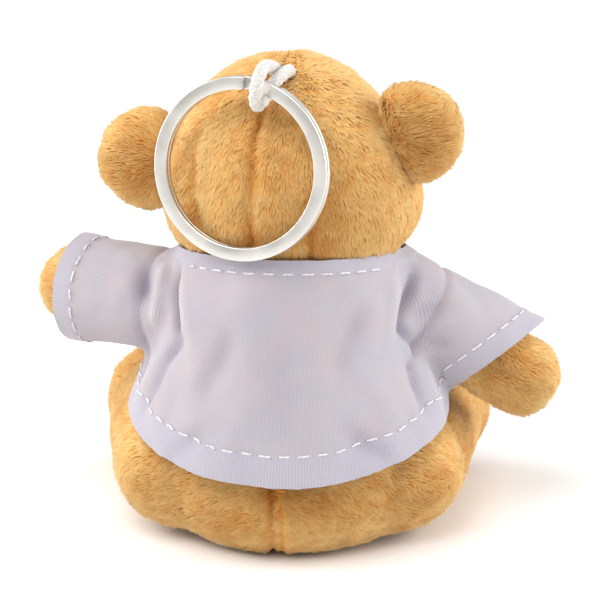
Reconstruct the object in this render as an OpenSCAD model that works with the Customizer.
// Plush bear keychain: a small seated teddy bear in a T-shirt, with a flat split ring
// on a short cotton loop sewn into the top of its head.
// Millimetres. +Z up, face towards -Y, the bear's left side towards +X,
// origin on the floor under the middle of the body.

/* [Body] */
// Height of the torso, from the floor to the neck
torso_h = 45.7; // [45:0.1:46]
// Half width of the torso at its seat
torso_r = 24; // [23.6:0.1:24.2]
// Thickness of the plush fabric with its pile laid flat
plush_t = 1.2; // [1:0.1:1.4]

/* [Head] */
// Half width of the head
head_r = 21; // [20.5:0.1:21.2]
// Half height of the head
head_half_h = 19.8; // [19.6:0.1:20]
// How much the cheeks are fuller than the crown
cheek = 0.12; // [0.08:0.01:0.12]
// Height of the middle of the head above the floor
head_z = 61.9; // [61.8:0.1:62.2]
// How far the head is turned at rest, in degrees
head_turn = -7; // [-9:1:-5]
// Diameter of an ear
ear_d = 18; // [16:0.5:19]
// Thickness of an ear at its middle
ear_t = 9; // [7:0.5:10]
// Half width of the muzzle
muzzle_r = 9; // [8:0.5:9]
// Radius of an eye
eye_r = 2.1; // [1.8:0.1:2.4]

/* [Arms and legs] */
// Length of the left arm from shoulder to paw tip
arm_left_len = 26; // [24:0.5:27]
// Length of the right arm from shoulder to paw tip
arm_right_len = 31.5; // [29:0.5:32]
// Radius of a paw
paw_r = 6.6; // [5.8:0.1:6.8]
// Length of a leg from hip to sole
leg_len = 31; // [29:0.5:32]
// Radius of a leg at the hip
leg_r = 11.8; // [11:0.1:11.9]

/* [Shirt] */
// Thickness of the knitted fabric, doubled at the hems
shirt_t = 0.8; // [0.6:0.1:0.9]
// Radius of a sleeve at its cuff
cuff_r = 8.5; // [8.2:0.1:8.8]
// Length of the left sleeve from the shoulder
sleeve_left_len = 19.5; // [18:0.5:20.5]
// Length of the right sleeve from the shoulder
sleeve_right_len = 21.7; // [20:0.1:22.5]
// Length of one stitch
stitch_len = 2.2; // [1.8:0.1:2.4]

/* [Key ring] */
// Outside diameter of the split ring
ring_od = 30; // [28:0.5:30]
// Width of the flat wire
band_w = 2.2; // [1.8:0.1:2.2]
// Thickness of the flat wire
wire_t = 0.95; // [0.8:0.05:0.95]
// Diameter of the cotton cord
cord_d = 2.2; // [1.8:0.1:2.2]

/* [Hidden] */
$fn = 48;

FUR = [0.87, 0.66, 0.37];
FUR_DARK = [0.80, 0.58, 0.30];
FUR_PALE = [0.93, 0.82, 0.64];
KNIT = [0.80, 0.79, 0.85];
THREAD = [0.95, 0.95, 0.97];
STUFFING = [0.96, 0.96, 0.94];
BLACK = [0.06, 0.05, 0.05];
STEEL = [0.86, 0.85, 0.82];
COTTON = [0.88, 0.86, 0.80];

BIG = 200;        // larger than the whole bear
GAP = 0.3;        // between parts that move against each other
STEPS = 20;       // points along a turned outline

NECK_Z = torso_h + GAP;           // underside of the head
HEAD_Y = -1.2;                    // the head sits slightly forward
TORSO_Y = 2;                      // the seat sits slightly back
CHEST_R = 19.9;
CHEST_Z = 29.9;
SHOULDER = [18.5, 0, 38];
SHOULDER_R = 9.2;
ARM_LEFT_POSE = [25, 0];          // degrees forward and degrees up
ARM_RIGHT_POSE = [15, -33];
ARM_LEFT_SWING = [-20, 25];       // degrees that an arm can be lowered and raised
ARM_RIGHT_SWING = [0, 40];
SLEEVE_SWEEP = 0.6;               // how far a swinging sleeve comes outside the shoulder's ball
HIP = [19.2, -3, 11.5];
LEG_SPLAY = 8;                    // degrees that a leg opens outwards
LEG_LIFT = 15;                    // degrees that a leg can be raised

// ---- Outlines, as radius and height -------------------------------------------------

function arc(from, to, n = STEPS) = [for (i = [0:n]) from + (to - from) * i / n];

// The head: an egg with its full end down. inset moves the outline inwards.
function head_end(inset) = acos((NECK_Z + inset - head_z) / (head_half_h - inset));
function head_outline(inset) = [for (t = arc(0, head_end(inset)))
    [(head_r - inset) * sin(t) * (1 - cheek * cos(t)), head_z + (head_half_h - inset) * cos(t)]];

function closed_outline(p) = concat([[0, p[0][1]]], p, [[0, p[len(p) - 1][1]]]);
function reversed(p) = [for (i = [len(p) - 1:-1:0]) p[i]];

// The shirt, as height and radius, from collar to hem.
SHIRT = [[53, 18.2], [46, 19.7], [40, 21.4], [10, 28.6]];
function shirt_r(z) = lookup(z, SHIRT);

// ---- Turned shapes ------------------------------------------------------------------

module turned(p) { rotate_extrude() polygon(closed_outline(p)); }

module half(side) { translate([side > 0 ? 0 : -BIG, -BIG / 2, -BIG / 2]) cube(BIG); }

module spheroid(r, half_t) {
    rotate_extrude() polygon([for (t = arc(-90, 90)) [r * cos(t), half_t * sin(t)]]);
}

// Places something made round the Z axis through the origin onto the turned head.
module on_head() { translate([0, HEAD_Y, 0]) rotate([0, 0, head_turn]) children(); }

module head_solid(inset) { turned(head_outline(inset)); }

// ---- Head ---------------------------------------------------------------------------

EYE_X = 7.6;
EYE_Z = 65;
EYE_Y = -19.4;
SHANK_R = 0.8;
WASHER_R = 2.6;
WASHER_T = 0.8;
TAIL_POCKET_R = 3.1;

module at_eye(side) {
    translate([side * EYE_X, EYE_Y, EYE_Z]) rotate([90, 0, side * 21.5]) children();
}

module cord_pocket() {
    translate([0.9, 4.6, 74.8]) cylinder(r = TAIL_POCKET_R, h = BIG);
}

module head_skin(side) {
    difference() {
        on_head() intersection() {
            difference() {
                head_solid(0);
                head_solid(plush_t);
            }
            half(side);
        }
        on_head() at_eye(side) translate([0, 0, -10]) cylinder(r = SHANK_R + 0.05, h = 20);
        cord_pocket();
    }
}
module head_skin_left() { color(FUR) head_skin(1); }
module head_skin_right() { color(FUR) head_skin(-1); }

module head_stuffing() {
    color(STUFFING) difference() {
        on_head() difference() {
            head_solid(plush_t);
            for (side = [-1, 1]) at_eye(side) translate([0, 0, -6]) cylinder(r = 3, h = 8);
        }
        cord_pocket();
    }
}

MUZZLE_Z = 56.5;
MUZZLE_Y = -15;
MUZZLE_OUT = 9;                   // how far the muzzle reaches from its own middle
module muzzle_solid(extra) {
    translate([0, MUZZLE_Y, MUZZLE_Z]) rotate([90, 0, 0])
        spheroid(muzzle_r + extra, MUZZLE_OUT + extra);
}
module muzzle() {
    color(FUR_PALE) on_head() difference() {
        muzzle_solid(0);
        head_solid(0);
    }
}

NOSE_Y = -22.6;
NOSE_Z = 60.3;
module nose() {
    color(BLACK) on_head() difference() {
        translate([0, NOSE_Y, NOSE_Z]) rotate([0, 90, 0]) spheroid(2, 3.2);
        muzzle_solid(0);
    }
}

// One line of thread from a to b.
module thread(a, b, r) {
    d = b - a;
    translate(a) rotate([0, acos(d[2] / norm(d)), atan2(d[1], d[0])])
        cylinder(r = r, h = norm(d), $fn = 16);
}

MOUTH = [0, -24.3, 55.4];
module mouth_stitches() {
    color(BLACK) on_head() difference() {
        union() {
            thread([0, -24.1, 58], MOUTH, 0.4);
            for (side = [-1, 1]) thread(MOUTH + [side * 0.3, 0, 0], [side * 3.4, -23, 53.6], 0.4);
        }
        muzzle_solid(0);
    }
}

module eye(side) {
    color(BLACK) on_head() union() {
        difference() {
            at_eye(side) sphere(r = eye_r);
            head_solid(0);
        }
        at_eye(side) translate([0, 0, -4.6]) cylinder(r = SHANK_R, h = 4.8);
    }
}
module eye_left() { eye(1); }
module eye_right() { eye(-1); }

module eye_washers() {
    color(KNIT) on_head() for (side = [-1, 1]) at_eye(side)
        translate([0, 0, -4]) difference() {
            cylinder(r = WASHER_R, h = WASHER_T);
            translate([0, 0, -1]) cylinder(r = SHANK_R, h = 3);
        }
}

// Ear middles, measured from the axis of the turned head.
EAR_LEFT = [23.3, 0.5, 63];
EAR_RIGHT = [-20.2, 5, 69];
module ear(centre, face) {
    difference() {
        translate(centre) rotate([90, 0, head_turn]) intersection() {
            spheroid(ear_d / 2, ear_t / 2);
            translate([-BIG / 2, -BIG / 2, face > 0 ? 0 : -BIG]) cube(BIG);
        }
        on_head() head_solid(0);
    }
}
module ear_left_back() { color(FUR_DARK) ear(EAR_LEFT, -1); }
module ear_left_front() { color(FUR_PALE) ear(EAR_LEFT, 1); }
module ear_right_back() { color(FUR_DARK) ear(EAR_RIGHT, -1); }
module ear_right_front() { color(FUR_PALE) ear(EAR_RIGHT, 1); }

// ---- Torso --------------------------------------------------------------------------

// The arm's own frame: origin at the shoulder, +Z along the arm.
module at_shoulder(side, lift = 0) {
    pose = side > 0 ? ARM_LEFT_POSE : ARM_RIGHT_POSE;
    translate([side * SHOULDER[0], SHOULDER[1], SHOULDER[2]]) rotate([0, -side * lift, 0])
        rotate([0, 0, side > 0 ? -pose[0] : 180 + pose[0]]) rotate([0, 90 - pose[1], 0]) children();
}

// Room for the arm and its sleeve over the arm's whole swing.
module shoulder_room(side, extra) {
    swing = side > 0 ? ARM_LEFT_SWING : ARM_RIGHT_SWING;
    r = SHOULDER_R + SLEEVE_SWEEP + extra;
    reach = 26;
    at_shoulder(side, (swing[0] + swing[1]) / 2)
        turned(concat([for (t = arc(-90, 0, 8)) [r * cos(t), r * sin(t)]],
            [[r + reach * tan((swing[1] - swing[0]) / 2 + 1), reach]]));
}

// The leg's own frame: origin at the hip, +Z along the leg.
module at_hip(side, lift = 0) {
    translate([side * HIP[0], HIP[1], HIP[2]]) rotate([-lift, 0, 0])
        rotate([90, 0, side * LEG_SPLAY]) children();
}

// Room for the hip, and for the leg over its whole lift.
module hip_room(side, extra) {
    r = leg_r + extra;
    reach = 30;
    at_hip(side, LEG_LIFT / 2) turned(concat([for (t = arc(-90, 0, 8)) [r * cos(t), r * sin(t)]],
        [[r + reach * tan(LEG_LIFT / 2 + 2), reach]]));
}

module joint_room(side, extra) {
    shoulder_room(side, extra);
    hip_room(side, extra);
}

// The torso: a round seat, a waist and a chest, each a circle turned round the middle.
module torso_solid(inset) {
    seat = [torso_r / 2, torso_r / 2 - 0.5];
    waist = [torso_r / 6, torso_r * 0.85];
    translate([0, TORSO_Y, inset]) intersection() {
        translate([0, 0, -inset]) union() {
            rotate_extrude() intersection() {
                union() {
                    translate(seat) circle(r = torso_r / 2 - inset);
                    translate([0, inset]) square([seat[0], seat[1]]);
                }
                square(BIG);
            }
            rotate_extrude() intersection() {
                translate(waist) circle(r = torso_r - waist[0] - 1 - inset);
                translate([0, -BIG / 2]) square(BIG);
            }
            translate([0, 0, CHEST_Z]) sphere(r = CHEST_R - inset);
        }
        cylinder(r = BIG / 2, h = torso_h - 2 * inset);
    }
}

module torso_skin(side) {
    difference() {
        intersection() {
            difference() {
                torso_solid(0);
                torso_solid(plush_t);
            }
            half(side);
        }
        joint_room(side, GAP);
    }
}
module torso_skin_left() { color(FUR) torso_skin(1); }
module torso_skin_right() { color(FUR) torso_skin(-1); }

module torso_stuffing() {
    color(STUFFING) difference() {
        torso_solid(plush_t);
        for (side = [-1, 1]) joint_room(side, GAP);
    }
}

// ---- Arms ---------------------------------------------------------------------------

function arm_outline(len, inset) = let (ball = SHOULDER_R - inset, paw = paw_r - inset) concat(
    [for (t = arc(-90, -4, 8)) [ball * cos(t), ball * sin(t)]],
    [[7.8 - inset, 0], [7.4 - inset, len * 0.35]],
    [for (t = arc(0, 90, 8)) [paw * cos(t), len - paw_r + paw * sin(t)]]);

module arm_skin(side, len) {
    at_shoulder(side) difference() {
        turned(arm_outline(len, 0));
        turned(arm_outline(len, plush_t));
    }
}
module arm_stuffing(side, len) { at_shoulder(side) turned(arm_outline(len, plush_t)); }
module arm_left_skin() { color(FUR) arm_skin(1, arm_left_len); }
module arm_left_stuffing() { color(STUFFING) arm_stuffing(1, arm_left_len); }
module arm_right_skin() { color(FUR) arm_skin(-1, arm_right_len); }
module arm_right_stuffing() { color(STUFFING) arm_stuffing(-1, arm_right_len); }

// ---- Legs ---------------------------------------------------------------------------

SOLE_R = 8.6;
SOLE_T = 0.8;

function leg_outline(inset) = let (ball = leg_r - inset) concat(
    [for (t = arc(-90, 0, 10)) [ball * cos(t), ball * sin(t)]],
    [[leg_r - 0.5 - inset, leg_len * 0.3], [leg_r - 0.7 - inset, leg_len * 0.5],
     [leg_r - 0.3 - inset, leg_len * 0.7], [leg_r - 0.7 - inset, leg_len * 0.85],
     [SOLE_R + 0.8 - inset, leg_len - SOLE_T - 0.8 - inset],
     [SOLE_R - inset, leg_len - SOLE_T - inset]]);

module above_floor(z) {
    intersection() {
        children();
        translate([-BIG / 2, -BIG / 2, z]) cube(BIG);
    }
}

module leg_solid(side, inset) { above_floor(inset) at_hip(side) turned(leg_outline(inset)); }

module leg_skin(side) {
    difference() {
        leg_solid(side, 0);
        leg_solid(side, plush_t);
    }
}
module leg_left_skin() { color(FUR) leg_skin(1); }
module leg_left_stuffing() { color(STUFFING) leg_solid(1, plush_t); }
module leg_right_skin() { color(FUR) leg_skin(-1); }
module leg_right_stuffing() { color(STUFFING) leg_solid(-1, plush_t); }

module sole(side) {
    at_hip(side) translate([0, 0, leg_len - SOLE_T]) rotate_extrude()
        polygon([[0, 0], [SOLE_R, 0], [SOLE_R - 0.4, SOLE_T * 0.7], [0, SOLE_T]]);
}
module sole_left() { color(FUR_PALE) sole(1); }
module sole_right() { color(FUR_PALE) sole(-1); }

// ---- Shirt --------------------------------------------------------------------------

SHIRT_Y = 1.2;
SIDE_SEAM_Y = -1;
COLLAR = [50.1, 16, 8];           // height at the back, distance back, slope in degrees
HEM = [16.6, 27, 12.5];

// Everything below a plane that slopes down towards the back of the bear or its front.
module below(z, y, slope) {
    translate([0, y, z]) rotate([slope, 0, 0]) translate([-BIG / 2, -BIG / 2, -BIG]) cube(BIG);
}

module shirt_wall() {
    outer = [for (p = SHIRT) [p[1], p[0]]];
    inner = [for (p = SHIRT) [p[1] - shirt_t, p[0]]];
    translate([0, SHIRT_Y, 0]) rotate_extrude() polygon(concat(outer, reversed(inner)));
}

module shirt_panel(back) {
    difference() {
        intersection() {
            shirt_wall();
            translate([-BIG / 2, back ? SIDE_SEAM_Y : SIDE_SEAM_Y - BIG, 0]) cube(BIG);
            below(COLLAR[0], COLLAR[1], COLLAR[2]);
        }
        below(HEM[0], HEM[1], -HEM[2]);
        for (side = [-1, 1]) {
            shoulder_room(side, GAP);
            hip_room(side, GAP);
        }
    }
}
module shirt_back() { color(KNIT) shirt_panel(true); }
module shirt_front() { color(KNIT) shirt_panel(false); }

module sleeve(side, len) {
    at_shoulder(side) rotate_extrude() polygon([
        [SHOULDER_R - shirt_t, 0.1], [SHOULDER_R, 0.1], [9, len * 0.3], [8.6, len * 0.7],
        [cuff_r, len], [cuff_r - shirt_t, len], [8.6 - shirt_t, len * 0.7], [9 - shirt_t, len * 0.3]]);
}
module sleeve_left() { color(KNIT) sleeve(1, sleeve_left_len); }
module sleeve_right() { color(KNIT) sleeve(-1, sleeve_right_len); }

// ---- Rows of stitches ---------------------------------------------------------------

STITCH_R = 0.25;
STITCH_OUT = STITCH_R + 0.15;     // from the cloth to the middle of the thread
STITCH_PITCH = 3.2;
NECK_BAND = 2.2;                  // from each edge of the shirt to its row of stitches
HEM_BAND = 4.4;
CUFF_BAND = 3.4;
ARM_CLEAR = 12.5;                 // no stitch is nearer to a shoulder than this

// A point on the shirt at angle a, on a plane of height z at y that slopes by slope degrees.
function on_shirt(a, plane, shift, r = 22, n = 4) = n == 0
    ? [r * cos(a), SHIRT_Y + r * sin(a), plane_z(plane, shift, a, r)]
    : on_shirt(a, plane, shift, shirt_r(plane_z(plane, shift, a, r)) + STITCH_OUT, n - 1);
function plane_z(plane, shift, a, r) =
    plane[0] + shift + (SHIRT_Y + r * sin(a) - plane[1]) * tan(plane[2]);

// How far a point is from the nearer shoulder.
function from_shoulder(p) = norm([abs(p[0]), p[1], p[2]] - SHOULDER);
module stitch_row(plane, shift, from, to, r) {
    pitch = STITCH_PITCH / r * 180 / PI;
    span = stitch_len / r * 180 / PI;
    for (a = [from:pitch:to]) {
        start = on_shirt(a, plane, shift);
        end = on_shirt(a + span, plane, shift);
        if (min(from_shoulder(start), from_shoulder(end)) > ARM_CLEAR) thread(start, end, STITCH_R);
    }
}
module neck_stitches() { color(THREAD) stitch_row(COLLAR, -NECK_BAND, 0, 352, 19); }
module hem_stitches() {
    plane = [HEM[0], HEM[1], -HEM[2]];
    color(THREAD) stitch_row(plane, HEM_BAND, 14, 162, 27);
}

module cuff_stitches(side, len) {
    r = cuff_r + STITCH_OUT + 0.05;
    pitch = STITCH_PITCH / r * 180 / PI;
    span = stitch_len / r * 180 / PI;
    at_shoulder(side) for (a = [0:pitch:338]) rotate(a)
        thread([r, 0, len - CUFF_BAND], [r * cos(span), r * sin(span), len - CUFF_BAND], STITCH_R);
}
module cuff_stitches_left() { color(THREAD) cuff_stitches(1, sleeve_left_len); }
module cuff_stitches_right() { color(THREAD) cuff_stitches(-1, sleeve_right_len); }

// ---- Cord ---------------------------------------------------------------------------

// The cord's route, up out of the head, over the ring's band, through the ring and back.
// The first and the last two points are the ends sewn into the head.
ROUTE = [[2.1, 3.7, 75.8], [2.1, 4.3, 78], [2.1, 5.2, 80.6], [2.3, 7.6, 81.8], [2.7, 11, 82.6],
    [3.2, 14.6, 82.8], [3.5, 17.9, 82.4], [4, 19.6, 81.1], [4.3, 20, 79.3], [4.4, 19.2, 77.5],
    [4.1, 17.1, 76.3], [3.2, 14.9, 77], [2.6, 14, 78.5], [1.9, 13.5, 80.1], [0.8, 12.1, 81],
    [-0.3, 9.3, 81.2], [-0.5, 5.9, 80.4], [-0.4, 4.9, 78], [-0.4, 4.2, 75.8]];
SEWN = 2;                         // points at each end that lie inside the head
TUBE_SIDES = 8;
LOOP_SIDE = [0.95, -0.32, 0];     // across the loop

function unit(v) = v / norm(v);
// A smooth curve through p[1]..p[2], at u from 0 to 1.
function smooth(p, i, u) = let (a = p[max(i - 1, 0)], b = p[i], c = p[i + 1],
    d = p[min(i + 2, len(p) - 1)])
    0.5 * (2 * b + (c - a) * u + (2 * a - 5 * b + 4 * c - d) * u * u
        + (3 * b - a - 3 * c + d) * u * u * u);
function smooth_route(p, n) = concat([for (i = [0:len(p) - 2], k = [0:n - 1]) smooth(p, i, k / n)],
    [p[len(p) - 1]]);

// A tube of radius r along the points p.
module tube(p, r) {
    last = len(p) - 1;
    rings = [for (i = [0:last]) let (t = unit(p[min(i + 1, last)] - p[max(i - 1, 0)]),
        a = unit(LOOP_SIDE - (LOOP_SIDE * t) * t), b = cross(t, a))
        for (k = [0:TUBE_SIDES - 1]) p[i] + r * (a * cos(k * 360 / TUBE_SIDES)
            + b * sin(k * 360 / TUBE_SIDES))];
    sides = [for (i = [0:last - 1], k = [0:TUBE_SIDES - 1]) let (m = (k + 1) % TUBE_SIDES)
        [i * TUBE_SIDES + k, (i + 1) * TUBE_SIDES + k, (i + 1) * TUBE_SIDES + m, i * TUBE_SIDES + m]];
    start = [for (k = [0:TUBE_SIDES - 1]) k];
    end = [for (k = [TUBE_SIDES - 1:-1:0]) last * TUBE_SIDES + k];
    polyhedron(concat(rings), concat(sides, [start], [end]));
}

CORD_TOP = len(ROUTE) - 1;
module cord_loop() {
    loop = [for (i = [SEWN:CORD_TOP - SEWN]) ROUTE[i]];
    color(COTTON) tube(smooth_route(loop, 2), cord_d / 2);
}
module cord_tails() {
    color(COTTON) for (end = [[ROUTE[0], ROUTE[2]], [ROUTE[CORD_TOP], ROUTE[CORD_TOP - 2]]])
        let (along = unit(end[1] - end[0]), reach = norm(end[1] - end[0]) - 1.2)
            thread(end[0], end[0] + along * reach, cord_d / 2);
}

// ---- Split ring ---------------------------------------------------------------------

RING_AT = [6.8, 17.5, 65.9];
RING_YAW = -19;                   // degrees that the ring's face is turned to the bear's left
RING_PITCH = 7;                   // degrees that it looks up
LAYER_GAP = 0.1;                  // between the two layers of the wire
RAMP = 9;                         // half the angle over which the wire changes layer
TIP = 12;                         // angle from the crossing to each end of the wire
RING_STEPS = 116;
WIRE_BEVEL = 0.2;

function ring_layer(a) = (wire_t + LAYER_GAP) / 2
    * (a < 360 - RAMP ? -1 : a > 360 + RAMP ? 1 : (a - 360) / RAMP);
function wire_section(a) = let (r1 = ring_od / 2 - band_w, r2 = ring_od / 2, h = wire_t / 2,
    b = WIRE_BEVEL, z = ring_layer(a))
    [for (q = [[r1 + b, -h], [r2 - b, -h], [r2, b - h], [r2, h - b], [r2 - b, h], [r1 + b, h],
        [r1, h - b], [r1, b - h]]) [q[0] * cos(a), q[0] * sin(a), q[1] + z]];
module split_ring() {
    corners = 8;
    first = TIP;
    final = 720 - TIP;
    points = [for (i = [0:RING_STEPS]) each wire_section(first + (final - first) * i / RING_STEPS)];
    sides = [for (i = [0:RING_STEPS - 1], k = [0:corners - 1]) let (m = (k + 1) % corners)
        [i * corners + k, (i + 1) * corners + k, (i + 1) * corners + m, i * corners + m]];
    start = [for (k = [0:corners - 1]) k];
    end = [for (k = [corners - 1:-1:0]) RING_STEPS * corners + k];
    color(STEEL) translate(RING_AT) rotate([0, 0, RING_YAW]) rotate([RING_PITCH - 90, 0, 0])
        rotate([0, 0, -95]) polyhedron(points, concat(sides, [start], [end]));
}

// ---- Everything ---------------------------------------------------------------------

head_skin_left();
head_skin_right();
head_stuffing();
muzzle();
nose();
mouth_stitches();
eye_left();
eye_right();
eye_washers();
ear_left_back();
ear_left_front();
ear_right_back();
ear_right_front();
torso_skin_left();
torso_skin_right();
torso_stuffing();
arm_left_skin();
arm_left_stuffing();
arm_right_skin();
arm_right_stuffing();
leg_left_skin();
leg_left_stuffing();
leg_right_skin();
leg_right_stuffing();
sole_left();
sole_right();
shirt_back();
shirt_front();
sleeve_left();
sleeve_right();
neck_stitches();
hem_stitches();
cuff_stitches_left();
cuff_stitches_right();
cord_tails();
cord_loop();
split_ring();
